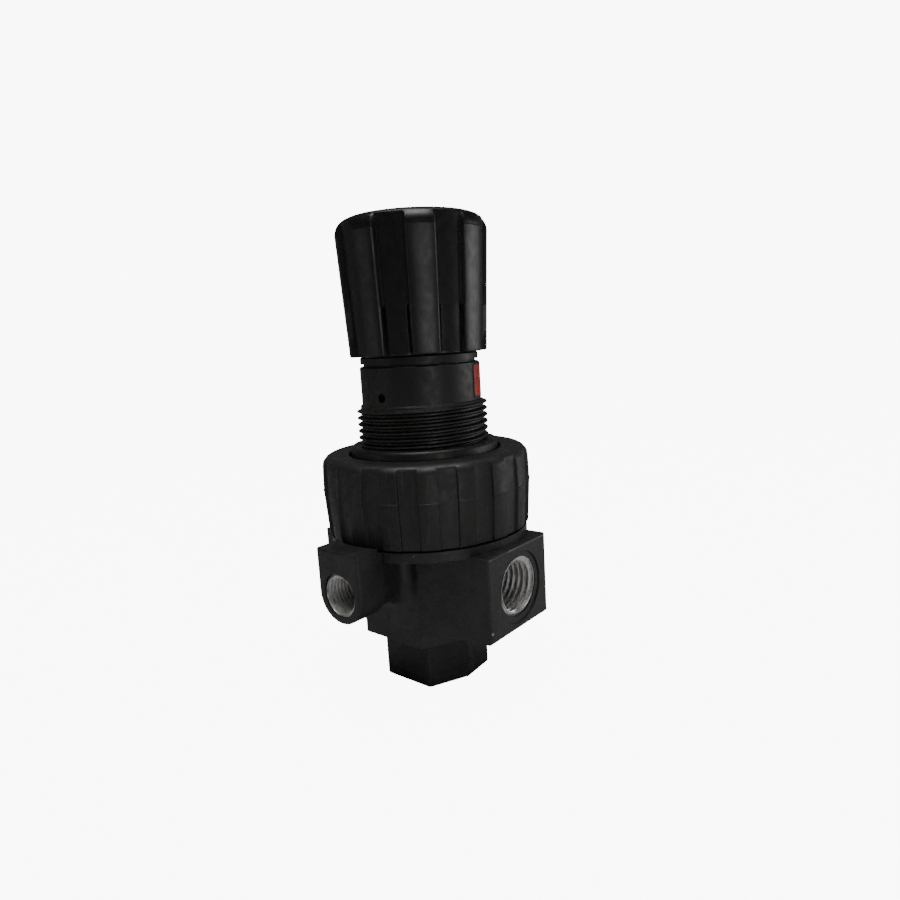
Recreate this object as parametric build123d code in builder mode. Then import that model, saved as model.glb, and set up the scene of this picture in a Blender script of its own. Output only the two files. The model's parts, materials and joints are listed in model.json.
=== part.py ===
from build123d import *
import os
from math import cos, radians, sin, sqrt

# In-line diaphragm pressure regulator with a push-to-lock knob, in millimetres.
# +Z runs up the adjusting screw, +X out of the main port on the outlet side.
# The origin is the centre of the bottom plug's lower face.

# ---------------------------------------------------------------- overall stack
plug_head_height = 13.1        # hexagonal head below the body
column_height = 21.4           # plug head to the underside of the body flange
flange_thickness = 2.2         # round flange under the clamp ring
neck_height = 9.3              # threaded neck that the clamp ring screws onto
diaphragm_thickness = 1.0
slip_ring_thickness = 0.3
bonnet_flange_thickness = 4.4
bonnet_step_height = 5.0       # stepped collar that passes through the clamp ring
panel_thread_length = 9.3
bonnet_plain_length = 8.5      # smooth barrel above the panel thread
lock_groove = 0.6              # shadow gap below the lock ring
lock_ring_thickness = 1.5
knob_gap = 0.4                 # lock ring to the knob's lower edge
knob_height = 29.2

# ---------------------------------------------------------------- body casting
column_across_flats = 30.0
flange_radius = 23.0
neck_radius = 21.0
chamber_radius = 15.5
chamber_depth = 8.0            # from the neck's top face
web_thickness = 7.0            # wall between valve chamber and diaphragm chamber
valve_chamber_radius = 7.2
casting_edge = 0.6             # edge rounding on the port blocks
casting_corner = 1.4           # rounding of the column's upright corners
casting_flow = 2.4             # hollow rounding where the gauge bosses meet the column
port_face_x = 25.0
port_block_width = 22.2
port_block_height = 18.7
port_block_depth = 4.7         # straight part of the block, back from its face
port_axis_height = 12.5        # above the body's base
port_radius = 6.7
port_depth = 12.0
port_seat_radius = 8.1         # shallow machined face round each main port
port_seat_depth = 0.3
gauge_face_y = 29.4
gauge_boss_width = 12.6
gauge_boss_depth = 7.0
gauge_axis_height = 15.4       # above the body's base
gauge_top_above_axis = 9.4
gauge_radius = 4.7
gauge_depth = 9.5
gauge_neck_inset = 0.8         # the boss's neck is this much smaller all round
passage_radius = 3.5           # port to valve chamber
riser_radius = 2.4             # outlet port up to the diaphragm chamber
riser_x = 12.6
sense_radius = 1.4             # gauge port up to the diaphragm chamber
sense_y = 12.6

# ---------------------------------------------------------------- clamp ring
ring_gap = 0.4                 # flange to the ring's lower edge
ring_top_thickness = 3.2
ring_radius_top = 23.8
ring_radius_middle = 24.0
ring_radius_bottom = 23.4
ring_hole_radius = 17.6
ring_hole_clearance = 0.6      # round the bonnet's stepped collar
ring_shoulder = 2.2            # rounding of the upper shoulder
ring_pads = 18
ring_pad_depth = 0.45
ring_phase = -48.0             # angle of a pad's centre
ring_swell = 0.8               # the widest level is this far above mid height

# ---------------------------------------------------------------- bonnet
bonnet_step_wall = 2.5         # stepped collar to the plate's recess
bonnet_flange_radius = 20.6
panel_thread_radius = 15.0     # M30 x 1.5
panel_thread_pitch = 1.5
bonnet_plain_radius = 13.66
spring_bore_radius = 11.5
plate_recess_depth = 4.7
bonnet_roof = 2.5
key_slot_radius = 12.5
key_slot_width = 3.2
vent_radius = 1.0
vent_below_top = 6.7
vent_angle = -87.0
bonnet_edge = 0.8              # chamfer of the stepped collar
barrel_edge = 0.3              # chamfers at the ends of the plain barrel
lock_ring_radius = 13.44
lock_ring_bore = 9.0
lock_neck_inset = 0.7          # the groove's depth below the lock ring
lock_ring_edge = 0.3

# ---------------------------------------------------------------- knob
knob_radius_bottom = 15.6
knob_radius_top = 17.05
knob_top_round = 3.2
knob_ribs = 8
knob_rib_depth = 1.1
knob_phase = -41.5             # angle of a rib's centre
knob_roof = 4.0
knob_hub_radius = 8.0
knob_socket_gap = 0.5          # above the screw's hexagon when the knob is pushed in
knob_hub_setback = 3.2         # the hub ends this far above the knob's lower edge
knob_travel = 2.2              # push down to lock

# ---------------------------------------------------------------- screw and nut
screw_thread_radius = 4.0      # M8 x 1.25
screw_flange_radius = 7.5
screw_flange_thickness = 1.2
screw_journal_radius = 4.95
screw_hex = 8.4                # across flats, drives the knob
screw_hex_length = 20.0
screw_end_margin = 3.55        # thread left below the nut at the end of its travel
thrust_washer_thickness = 0.6
nut_thickness = 3.0
nut_boss_height = 3.0
nut_radius = 11.0
nut_travel = 6.25              # five turns of the screw
nut_top_gap = 0.2
nut_key_clearance = 0.3        # nut's keys to the end of the bonnet's slots
thrust_washer_margin = 1.0     # washer beyond the screw's flange

# ---------------------------------------------------------------- springs and diaphragm group
range_spring_radius = 9.0      # mean
range_wire = 2.0
range_turns = 4.5
plate_clearance = 1.0          # plate to its recess
plate_thickness = 2.0
spring_boss_height = 1.5
spring_boss_clearance = 0.2
spring_boss_edge = 0.4
hub_flange_radius = 5.5
hub_flange_thickness = 1.5
hub_stem_radius = 2.4
relief_radius = 0.8
hub_nut_across_flats = 8.0
hub_nut_height = 2.5

# ---------------------------------------------------------------- valve
seat_flange_radius = 6.9
seat_flange_thickness = 1.5
seat_sleeve_radius = 4.5
seat_bore_radius = 3.0
seat_ring_radius = 5.8
seat_ring_section = 0.42
poppet_radius = 5.2
poppet_thickness = 4.2
poppet_seal_thickness = 0.8
stem_radius = 1.2
guide_radius = 2.4
guide_length = 10.5
pusher_clearance = 0.05
valve_spring_radius = 3.6      # mean
valve_wire = 0.8
valve_turns = 5.0
screen_thickness = 0.4
screen_columns = 12
screen_rows = 3
screen_window = 1.7

# ---------------------------------------------------------------- bottom plug
plug_flat = 9.3                # axis to the flats that face the gauge ports
plug_flat_corner = 5.1         # where those flats meet the slanted ones
plug_side_corner = 9.45        # where the slanted flats meet the side flats
plug_side = 8.6                # axis to the far corners, along X
plug_edge = 0.5
plug_thread_radius = 8.0
plug_thread_length = 5.9
plug_ring_radius = 8.6
plug_ring_section = 0.58
plug_pocket_radius = 5.2
stem_ring_section = 0.75
stem_ring_floor = 0.9          # the stem seal's pocket starts this far above the head
spring_washer_thickness = 0.5
guide_bore_depth = 8.0

# ---------------------------------------------------------------- label
label_height = 7.8
label_thickness = 0.12
label_start = 10.0
label_sweep = 90.0
label_below_top = 0.4
label_corner = 1.2

# ---------------------------------------------------------------- clearances
thread_clearance = 0.08        # radial, between plain cylinders that stand for threads
running_clearance = 0.05       # radial, journals and guides
seal_clearance = 0.02          # seals beside a moving stem
knob_clearance = 0.34          # knob skirt over the bonnet
axial_clearance = 0.05
cut_over = 1.0                 # cutting shapes run this far past the surface

# ---------------------------------------------------------------- levels
base_z = plug_head_height
flange_bottom_z = base_z + column_height
flange_top_z = flange_bottom_z + flange_thickness
neck_top_z = flange_top_z + neck_height
ring_bottom_z = flange_top_z + ring_gap
diaphragm_top_z = neck_top_z + diaphragm_thickness
bonnet_bottom_z = diaphragm_top_z + slip_ring_thickness
bonnet_flange_top_z = bonnet_bottom_z + bonnet_flange_thickness
ring_top_z = bonnet_flange_top_z + ring_top_thickness
bonnet_step_top_z = bonnet_flange_top_z + bonnet_step_height
bonnet_step_radius = ring_hole_radius - ring_hole_clearance
plate_recess_radius = bonnet_step_radius - bonnet_step_wall
plate_radius = plate_recess_radius - plate_clearance
screw_tail = nut_top_gap + nut_boss_height + nut_thickness + nut_travel + screw_end_margin
thread_top_z = bonnet_step_top_z + panel_thread_length
bonnet_top_z = thread_top_z + bonnet_plain_length
lock_ring_z = bonnet_top_z + lock_groove
lock_ring_top_z = lock_ring_z + lock_ring_thickness
knob_bottom_z = lock_ring_top_z + knob_gap
knob_top_z = knob_bottom_z + knob_height
port_axis_z = base_z + port_axis_height
gauge_axis_z = base_z + gauge_axis_height
chamber_floor_z = neck_top_z - chamber_depth
web_bottom_z = chamber_floor_z - web_thickness
seat_face_z = web_bottom_z - seat_flange_thickness
poppet_top_z = seat_face_z - poppet_seal_thickness
poppet_bottom_z = poppet_top_z - poppet_thickness
plug_top_z = base_z + plug_thread_length
bonnet_roof_z = bonnet_top_z - bonnet_roof
washer_bottom_z = bonnet_roof_z - thrust_washer_thickness
screw_flange_bottom_z = washer_bottom_z - screw_flange_thickness
nut_top_z = screw_flange_bottom_z - nut_top_gap
nut_bottom_z = nut_top_z - nut_thickness
plate_top_z = diaphragm_top_z + plate_thickness
boss_top_z = plate_top_z + spring_boss_height
stem_ring_bottom_z = base_z + stem_ring_floor
spring_washer_z = stem_ring_bottom_z + 2 * stem_ring_section + axial_clearance
valve_spring_z = spring_washer_z + spring_washer_thickness
spring_inner_radius = range_spring_radius - range_wire / 2

os.makedirs("parts", exist_ok=True)


def outward_plane(direction, distance, height):
    """A plane across a horizontal direction, its own y axis pointing up."""
    outward = Vector(*direction)
    centre = outward * distance + Vector(0, 0, height)
    return Plane(origin=centre, x_dir=Vector(0, 0, 1).cross(outward), z_dir=outward)


def finish(piece, name):
    """Name a finished piece and write it as its own file."""
    piece.part.label = name
    export_step(piece.part, f"parts/{name}.step")


def tube(outer, inner, bottom, top):
    """A plain round tube between two levels."""
    with BuildPart() as piece:
        with BuildSketch(Plane.XY.offset(bottom)):
            Circle(outer)
            Circle(inner, mode=Mode.SUBTRACT)
        extrude(amount=top - bottom)
    return piece


def seal_ring(radius, section, height):
    """A round-section seal ring centred on the axis."""
    with BuildPart() as piece:
        with BuildSketch(Plane.XZ):
            with Locations((radius, height)):
                Circle(section)
        revolve(axis=Axis.Z)
    return piece


def coil_spring(radius, wire, turns, bottom, top):
    """A compression spring whose end turns rest on the two levels."""
    length = top - bottom - wire
    with BuildPart() as piece:
        with BuildLine() as path:
            Helix(length / turns, length, radius, center=(0, 0, bottom + wire / 2))
        with BuildSketch(Plane(origin=path.line @ 0, z_dir=path.line % 0)):
            Circle(wire / 2)
        sweep(path=path.line, is_frenet=True)
    return piece


# ================================================================ body
main_ports = [(1, 0, 0), (-1, 0, 0)]
gauge_ports = [(0, -1, 0), (0, 1, 0)]
block_root_x = column_across_flats / 2 / sqrt(3)
block_root_y = column_across_flats / 2
block_back_x = port_face_x - port_block_depth
block_bottom_z = port_axis_z - port_block_height / 2
half_width = port_block_width / 2
boss_back_y = gauge_face_y - gauge_boss_depth


def boss_outline(width, top):
    """Flat-topped profile with a round underside, centred on the gauge port."""
    with BuildSketch(Plane.XY) as outline:
        Circle(width / 2)
        Rectangle(width, top, align=(Align.CENTER, Align.MIN))
    return outline.sketch


with BuildPart() as body:
    # hexagonal column, round flange and threaded neck
    with BuildSketch(Plane.XY.offset(base_z)) as column:
        RegularPolygon(column_across_flats / 2, 6, major_radius=False)
        fillet(column.vertices(), casting_corner)
    extrude(amount=column_height)
    # the two main port blocks flare out of the column's corners
    with BuildSketch(Plane.XY.offset(block_bottom_z)) as blocks:
        with BuildLine():
            Polyline(
                (block_root_x, -block_root_y),
                (block_back_x, -half_width),
                (port_face_x, -half_width),
                (port_face_x, half_width),
                (block_back_x, half_width),
                (block_root_x, block_root_y),
                (-block_root_x, block_root_y),
                (-block_back_x, half_width),
                (-port_face_x, half_width),
                (-port_face_x, -half_width),
                (-block_back_x, -half_width),
                (-block_root_x, -block_root_y),
                close=True,
            )
        make_face()
        roots = blocks.vertices().filter_by_position(Axis.X, -block_back_x, block_back_x)
        fillet(roots, casting_corner)
    extrude(amount=port_block_height)
    port_faces = body.faces().filter_by(Axis.X).sort_by(Axis.X)
    fillet(port_faces[0].edges() + port_faces[-1].edges(), casting_edge)
    # gauge bosses: a thick front collar on a slimmer neck
    for direction in gauge_ports:
        with BuildSketch(outward_plane(direction, boss_back_y, gauge_axis_z)):
            add(boss_outline(gauge_boss_width - 2 * gauge_neck_inset, flange_bottom_z - gauge_axis_z))
        extrude(amount=-(boss_back_y - block_root_y / 2))
    upright_or_round = body.edges().filter_by(Axis.Z) + body.edges().filter_by(GeomType.CIRCLE)
    half_boss = gauge_boss_width / 2
    boss_edges = upright_or_round.filter_by_position(Axis.X, -half_boss, half_boss)
    for side in (-block_root_y, block_root_y):
        fillet(boss_edges.filter_by_position(Axis.Y, side - 0.01, side + 0.01), casting_flow)
    for direction in gauge_ports:
        with BuildSketch(outward_plane(direction, gauge_face_y, gauge_axis_z)):
            add(boss_outline(gauge_boss_width, gauge_top_above_axis))
        extrude(amount=-gauge_boss_depth)
    front_faces = body.faces().filter_by(Axis.Y).sort_by(Axis.Y)
    fillet(front_faces[0].edges() + front_faces[-1].edges(), casting_edge)
    with BuildSketch(Plane.XY.offset(flange_bottom_z)):
        Circle(flange_radius)
    extrude(amount=flange_thickness)
    # room for the clamp ring above the flange
    with BuildSketch(Plane.XY.offset(flange_top_z)):
        Circle(ring_radius_middle + ring_gap)
    extrude(amount=neck_height, mode=Mode.SUBTRACT)
    with BuildSketch(Plane.XY.offset(flange_top_z)):
        Circle(neck_radius)
    extrude(amount=neck_height)
    # diaphragm chamber, valve chamber and the bore for the seat
    with BuildSketch(Plane.XY.offset(chamber_floor_z)):
        Circle(chamber_radius)
    extrude(amount=chamber_depth, mode=Mode.SUBTRACT)
    with BuildSketch(Plane.XY.offset(base_z)):
        Circle(valve_chamber_radius)
    extrude(amount=web_bottom_z - base_z, mode=Mode.SUBTRACT)
    with BuildSketch(Plane.XY.offset(base_z)):
        Circle(plug_thread_radius + thread_clearance)
    extrude(amount=plug_thread_length, mode=Mode.SUBTRACT)
    with BuildSketch(Plane.XY.offset(base_z)):
        Circle(plug_ring_radius + plug_ring_section + seal_clearance)
    extrude(amount=2 * plug_ring_section + axial_clearance, mode=Mode.SUBTRACT)
    with BuildSketch(Plane.XY.offset(web_bottom_z)):
        Circle(seat_ring_radius + seat_ring_section + seal_clearance)
        Circle(seat_ring_radius - seat_ring_section - seal_clearance, mode=Mode.SUBTRACT)
    extrude(amount=2 * seat_ring_section + axial_clearance, mode=Mode.SUBTRACT)
    with BuildSketch(Plane.XY.offset(web_bottom_z)):
        Circle(seat_sleeve_radius)
    extrude(amount=web_thickness, mode=Mode.SUBTRACT)
    # main ports, each with its shallow machined face
    for direction in main_ports:
        with BuildSketch(outward_plane(direction, port_face_x, port_axis_z)):
            Circle(port_seat_radius)
        extrude(amount=-port_seat_depth, mode=Mode.SUBTRACT)
        with BuildSketch(outward_plane(direction, port_face_x, port_axis_z)):
            Circle(port_radius)
        extrude(amount=-port_depth, mode=Mode.SUBTRACT)
    with BuildSketch(outward_plane((-1, 0, 0), port_face_x - port_depth, port_axis_z)):
        Circle(passage_radius)
    extrude(amount=-(port_face_x - port_depth - valve_chamber_radius / 2), mode=Mode.SUBTRACT)
    with BuildSketch(Plane.XY.offset(port_axis_z)):
        with Locations((riser_x, 0)):
            Circle(riser_radius)
    extrude(amount=chamber_floor_z - port_axis_z, mode=Mode.SUBTRACT)
    # gauge ports and their sensing holes
    for direction in gauge_ports:
        with BuildSketch(outward_plane(direction, gauge_face_y, gauge_axis_z)):
            Circle(gauge_radius)
        extrude(amount=-gauge_depth, mode=Mode.SUBTRACT)
        with BuildSketch(outward_plane(direction, gauge_face_y - gauge_depth, gauge_axis_z)):
            Circle(sense_radius)
        extrude(amount=-(gauge_face_y - gauge_depth - sense_y), mode=Mode.SUBTRACT)
        with BuildSketch(Plane.XY.offset(gauge_axis_z)):
            with Locations((0, direction[1] * sense_y)):
                Circle(sense_radius)
        extrude(amount=chamber_floor_z - gauge_axis_z, mode=Mode.SUBTRACT)
finish(body, "body")

# ================================================================ bottom plug
plug_corners = [
    (-plug_side, -plug_flat),
    (plug_flat_corner, -plug_flat),
    (plug_side_corner, 0),
    (plug_side, plug_flat),
    (-plug_flat_corner, plug_flat),
    (-plug_side_corner, 0),
]

with BuildPart() as bottom_plug:
    with BuildSketch():
        with BuildLine():
            Polyline(*plug_corners, close=True)
        make_face()
    extrude(amount=plug_head_height)
    fillet(bottom_plug.edges().filter_by(Axis.Z), 2 * plug_edge)
    fillet(bottom_plug.faces().sort_by(Axis.Z)[0].edges(), plug_edge)
    with BuildSketch(Plane.XY.offset(base_z)):
        Circle(plug_thread_radius)
    extrude(amount=plug_thread_length)
    with BuildSketch(Plane.XY.offset(spring_washer_z)):
        Circle(plug_pocket_radius)
    extrude(amount=plug_top_z - spring_washer_z, mode=Mode.SUBTRACT)
    with BuildSketch(Plane.XY.offset(stem_ring_bottom_z)):
        Circle(guide_radius + 2 * stem_ring_section + 2 * seal_clearance)
    extrude(amount=spring_washer_z - stem_ring_bottom_z, mode=Mode.SUBTRACT)
    with BuildSketch(Plane.XY.offset(stem_ring_bottom_z - guide_bore_depth)):
        Circle(guide_radius + running_clearance)
    extrude(amount=guide_bore_depth, mode=Mode.SUBTRACT)
finish(bottom_plug, "bottom_plug")

plug_seal = seal_ring(plug_ring_radius, plug_ring_section, base_z + plug_ring_section)
finish(plug_seal, "plug_seal")
stem_seal = seal_ring(
    guide_radius + seal_clearance + stem_ring_section,
    stem_ring_section,
    stem_ring_bottom_z + stem_ring_section,
)
finish(stem_seal, "stem_seal")
spring_washer = tube(
    plug_pocket_radius - running_clearance,
    guide_radius + 2 * running_clearance,
    spring_washer_z,
    valve_spring_z,
)
finish(spring_washer, "spring_washer")

# ================================================================ valve
with BuildPart() as valve_seat:
    with BuildSketch(Plane.XY.offset(seat_face_z)):
        Circle(seat_flange_radius)
    extrude(amount=seat_flange_thickness)
    with BuildSketch(Plane.XY.offset(web_bottom_z)):
        Circle(seat_sleeve_radius)
    extrude(amount=web_thickness)
    with BuildSketch(Plane.XY.offset(seat_face_z)):
        Circle(seat_bore_radius)
    extrude(amount=chamber_floor_z - seat_face_z, mode=Mode.SUBTRACT)
finish(valve_seat, "valve_seat")

seat_seal = seal_ring(seat_ring_radius, seat_ring_section, web_bottom_z + seat_ring_section)
finish(seat_seal, "seat_seal")

stem_top_z = neck_top_z - hub_flange_thickness - pusher_clearance

with BuildPart() as poppet:
    with BuildSketch(Plane.XY.offset(poppet_bottom_z)):
        Circle(poppet_radius)
    extrude(amount=poppet_thickness)
    with BuildSketch(Plane.XY.offset(poppet_top_z)):
        Circle(stem_radius)
    extrude(amount=stem_top_z - poppet_top_z)
    with BuildSketch(Plane.XY.offset(poppet_bottom_z)):
        Circle(guide_radius)
    extrude(amount=-guide_length)
    chamfer(poppet.faces().sort_by(Axis.Z)[0].edges(), guide_radius / 6)
finish(poppet, "poppet")

poppet_seal = tube(poppet_radius, stem_radius, poppet_top_z, seat_face_z)
finish(poppet_seal, "poppet_seal")

valve_spring = coil_spring(
    valve_spring_radius, valve_wire, valve_turns, valve_spring_z, poppet_bottom_z
)
finish(valve_spring, "valve_spring")

screen_bottom_z = plug_top_z + axial_clearance
screen_top_z = seat_face_z - axial_clearance
screen_outer = valve_chamber_radius - running_clearance
screen_pitch = (screen_top_z - screen_bottom_z) / (screen_rows + 0.5)

with BuildPart() as inlet_screen:
    with BuildSketch(Plane.XY.offset(screen_bottom_z)):
        Circle(screen_outer)
        Circle(screen_outer - screen_thickness, mode=Mode.SUBTRACT)
    extrude(amount=screen_top_z - screen_bottom_z)
    screen_middle_z = (screen_bottom_z + screen_top_z) / 2
    for column in range(screen_columns // 2):
        angle = radians(column * 360 / screen_columns)
        across = outward_plane((cos(angle), sin(angle), 0), 0, screen_middle_z)
        with BuildSketch(across):
            with GridLocations(screen_window, screen_pitch, 1, screen_rows):
                Rectangle(screen_window, screen_pitch * 0.6)
        extrude(amount=screen_outer + screen_thickness, both=True, mode=Mode.SUBTRACT)
finish(inlet_screen, "inlet_screen")

# ================================================================ diaphragm group
hole_radius = hub_stem_radius + running_clearance

diaphragm = tube(
    neck_radius - 2 * thread_clearance, hole_radius, neck_top_z, diaphragm_top_z
)
finish(diaphragm, "diaphragm")

slip_ring = tube(
    neck_radius - 2 * thread_clearance, chamber_radius, diaphragm_top_z, bonnet_bottom_z
)
finish(slip_ring, "slip_ring")

with BuildPart() as diaphragm_plate:
    with BuildSketch(Plane.XY.offset(diaphragm_top_z)):
        Circle(plate_radius)
    extrude(amount=plate_thickness)
    with BuildSketch(Plane.XY.offset(plate_top_z)):
        Circle(spring_inner_radius - spring_boss_clearance)
    extrude(amount=spring_boss_height)
    with BuildSketch(Plane.XY.offset(diaphragm_top_z)):
        Circle(hole_radius)
    extrude(amount=boss_top_z - diaphragm_top_z, mode=Mode.SUBTRACT)
    top_circles = diaphragm_plate.faces().sort_by(Axis.Z)[-1].edges().sort_by(SortBy.RADIUS)
    chamfer(top_circles[-1], spring_boss_edge)
finish(diaphragm_plate, "diaphragm_plate")

hub_top_z = boss_top_z + hub_nut_height

with BuildPart() as diaphragm_hub:
    with BuildSketch(Plane.XY.offset(neck_top_z)):
        Circle(hub_flange_radius)
    extrude(amount=-hub_flange_thickness)
    with BuildSketch(Plane.XY.offset(neck_top_z)):
        Circle(hub_stem_radius)
    extrude(amount=hub_top_z - neck_top_z)
    with BuildSketch(Plane.XY.offset(neck_top_z - hub_flange_thickness)):
        Circle(relief_radius)
    extrude(amount=hub_top_z - neck_top_z + hub_flange_thickness, mode=Mode.SUBTRACT)
finish(diaphragm_hub, "diaphragm_hub")

with BuildPart() as hub_nut:
    with BuildSketch(Plane.XY.offset(boss_top_z)):
        RegularPolygon(hub_nut_across_flats / 2, 6, major_radius=False)
        Circle(hole_radius, mode=Mode.SUBTRACT)
    extrude(amount=hub_nut_height)
finish(hub_nut, "hub_nut")

range_spring = coil_spring(
    range_spring_radius, range_wire, range_turns, plate_top_z, nut_bottom_z
)
finish(range_spring, "range_spring")

# ================================================================ bonnet
thread_depth = panel_thread_pitch * 0.6134
thread_root = panel_thread_radius - thread_depth
crest_half = panel_thread_pitch / 16
root_half = panel_thread_pitch / 8
thread_turns = int(panel_thread_length / panel_thread_pitch)
first_crest_z = thread_top_z - panel_thread_pitch * 0.8 - (thread_turns - 1) * panel_thread_pitch

bonnet_outline = [
    (plate_recess_radius, bonnet_bottom_z),
    (bonnet_flange_radius, bonnet_bottom_z),
    (bonnet_flange_radius, bonnet_flange_top_z),
    (bonnet_step_radius, bonnet_flange_top_z),
    (bonnet_step_radius, bonnet_step_top_z - bonnet_edge),
    (bonnet_step_radius - bonnet_edge, bonnet_step_top_z),
    (thread_root, bonnet_step_top_z),
]
for turn in range(thread_turns):
    crest_z = first_crest_z + turn * panel_thread_pitch
    flank = panel_thread_pitch / 2 - root_half
    bonnet_outline += [
        (thread_root, crest_z - flank),
        (panel_thread_radius, crest_z - crest_half),
        (panel_thread_radius, crest_z + crest_half),
        (thread_root, crest_z + flank),
    ]
bonnet_outline += [
    (thread_root, thread_top_z - barrel_edge),
    (bonnet_plain_radius, thread_top_z),
    (bonnet_plain_radius, bonnet_top_z - barrel_edge),
    (bonnet_plain_radius - barrel_edge, bonnet_top_z),
    (lock_ring_bore, bonnet_top_z),
    (screw_journal_radius + running_clearance, bonnet_top_z),
    (screw_journal_radius + running_clearance, bonnet_roof_z),
    (spring_bore_radius, bonnet_roof_z),
    (spring_bore_radius, bonnet_bottom_z + plate_recess_depth),
    (plate_recess_radius, bonnet_bottom_z + plate_recess_depth),
]

with BuildPart() as bonnet:
    with BuildSketch(Plane.XZ):
        with BuildLine():
            Polyline(*bonnet_outline, close=True)
        make_face()
    revolve(axis=Axis.Z)
    # two slots that keep the spring nut from turning
    key_length = bonnet_roof_z - bonnet_bottom_z - plate_recess_depth
    with BuildSketch(Plane.XY.offset(bonnet_bottom_z + plate_recess_depth)):
        Rectangle(2 * key_slot_radius, key_slot_width)
        Circle(spring_bore_radius - cut_over, mode=Mode.SUBTRACT)
    extrude(amount=key_length, mode=Mode.SUBTRACT)
    # vent hole through the barrel
    vent = radians(vent_angle)
    vent_direction = (cos(vent), sin(vent), 0)
    vent_z = bonnet_top_z - vent_below_top
    with BuildSketch(outward_plane(vent_direction, bonnet_plain_radius + cut_over, vent_z)):
        Circle(vent_radius)
    extrude(amount=-(bonnet_plain_radius + 2 * cut_over - spring_bore_radius), mode=Mode.SUBTRACT)
finish(bonnet, "bonnet")

with BuildPart() as lock_ring:
    with BuildSketch(Plane.XY.offset(bonnet_top_z)):
        Circle(lock_ring_radius - lock_neck_inset)
    extrude(amount=lock_groove)
    with BuildSketch(Plane.XY.offset(lock_ring_z)):
        Circle(lock_ring_radius)
    extrude(amount=lock_ring_thickness)
    chamfer(lock_ring.faces().sort_by(Axis.Z)[-1].edges(), lock_ring_edge)
    with BuildSketch(Plane.XY.offset(bonnet_top_z)):
        Circle(lock_ring_bore)
    extrude(amount=lock_groove + lock_ring_thickness, mode=Mode.SUBTRACT)
finish(lock_ring, "lock_ring")

label_top_z = bonnet_top_z - label_below_top
with BuildPart() as label:
    with BuildSketch(Plane.XZ.rotated((0, 0, label_start))):
        with Locations((bonnet_plain_radius + label_thickness / 2, label_top_z - label_height / 2)):
            Rectangle(label_thickness, label_height)
    revolve(axis=Axis.Z, revolution_arc=label_sweep)
    label_ends = label.edges().sort_by(Edge.length)[:4]
    fillet(label_ends, label_corner)
finish(label, "label")

# ================================================================ clamp ring
ring_bore_radius = neck_radius + thread_clearance
ring_middle_z = (ring_bottom_z + ring_top_z) / 2 + ring_swell
pad_angle = 180 / ring_pads

with BuildPart() as clamp_ring:
    with BuildSketch(Plane.XZ):
        with BuildLine():
            Polyline(
                (ring_bore_radius, ring_bottom_z),
                (ring_radius_bottom, ring_bottom_z),
                (ring_radius_middle, ring_middle_z),
                (ring_radius_top, ring_top_z),
                (ring_hole_radius, ring_top_z),
                (ring_hole_radius, bonnet_flange_top_z),
                (ring_bore_radius, bonnet_flange_top_z),
                close=True,
            )
        make_face()
    revolve(axis=Axis.Z)
    top_edges = clamp_ring.edges().filter_by(GeomType.CIRCLE).group_by(Axis.Z)[-1]
    shoulder = top_edges.sort_by(SortBy.RADIUS)
    fillet(shoulder[-1], ring_shoulder)
    fillet(shoulder[0], ring_shoulder / 6)
    # shallow recesses between the grip pads
    for pad in range(ring_pads):
        start = ring_phase + pad * 2 * pad_angle + pad_angle / 2
        with BuildSketch(Plane.XZ.rotated((0, 0, start))):
            with BuildLine():
                Polyline(
                    (ring_radius_bottom - ring_pad_depth, ring_bottom_z - cut_over),
                    (ring_radius_middle - ring_pad_depth, ring_middle_z),
                    (ring_radius_top - ring_pad_depth, ring_top_z + cut_over),
                    (ring_radius_middle + cut_over, ring_top_z + cut_over),
                    (ring_radius_middle + cut_over, ring_bottom_z - cut_over),
                    close=True,
                )
            make_face()
        revolve(axis=Axis.Z, revolution_arc=pad_angle, mode=Mode.SUBTRACT)
finish(clamp_ring, "clamp_ring")

# ================================================================ adjusting screw and nut
hex_top_z = bonnet_top_z + lock_groove + screw_hex_length

with BuildPart() as adjusting_screw:
    with BuildSketch(Plane.XY.offset(screw_flange_bottom_z)):
        Circle(screw_flange_radius)
    extrude(amount=screw_flange_thickness)
    with BuildSketch(Plane.XY.offset(washer_bottom_z)):
        Circle(screw_journal_radius)
    extrude(amount=bonnet_top_z + lock_groove - washer_bottom_z)
    with BuildSketch(Plane.XY.offset(bonnet_top_z + lock_groove)):
        RegularPolygon(screw_hex / 2, 6, major_radius=False)
    extrude(amount=screw_hex_length)
    with BuildSketch(Plane.XY.offset(screw_flange_bottom_z)):
        Circle(screw_thread_radius)
    extrude(amount=-screw_tail)
    chamfer(adjusting_screw.faces().sort_by(Axis.Z)[0].edges(), screw_thread_radius / 8)
finish(adjusting_screw, "adjusting_screw")

thrust_washer = tube(
    screw_flange_radius + thrust_washer_margin,
    screw_journal_radius + running_clearance,
    washer_bottom_z,
    bonnet_roof_z,
)
finish(thrust_washer, "thrust_washer")

with BuildPart() as spring_nut:
    with BuildSketch(Plane.XY.offset(nut_bottom_z)):
        Circle(nut_radius)
        Rectangle(2 * (key_slot_radius - nut_key_clearance), key_slot_width - nut_key_clearance)
    extrude(amount=nut_thickness)
    with BuildSketch(Plane.XY.offset(nut_bottom_z)):
        Circle(spring_inner_radius - spring_boss_clearance)
    extrude(amount=-nut_boss_height)
    with BuildSketch(Plane.XY.offset(nut_bottom_z - nut_boss_height)):
        Circle(screw_thread_radius + thread_clearance)
    extrude(amount=nut_thickness + nut_boss_height, mode=Mode.SUBTRACT)
finish(spring_nut, "spring_nut")

# ================================================================ knob
skirt_radius = bonnet_plain_radius + knob_clearance
hub_bottom_z = knob_bottom_z + knob_hub_setback
socket_top_z = hex_top_z + knob_travel + knob_socket_gap
knob_inner_top_z = knob_top_z - knob_roof
rib_angle = 180 / knob_ribs

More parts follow.
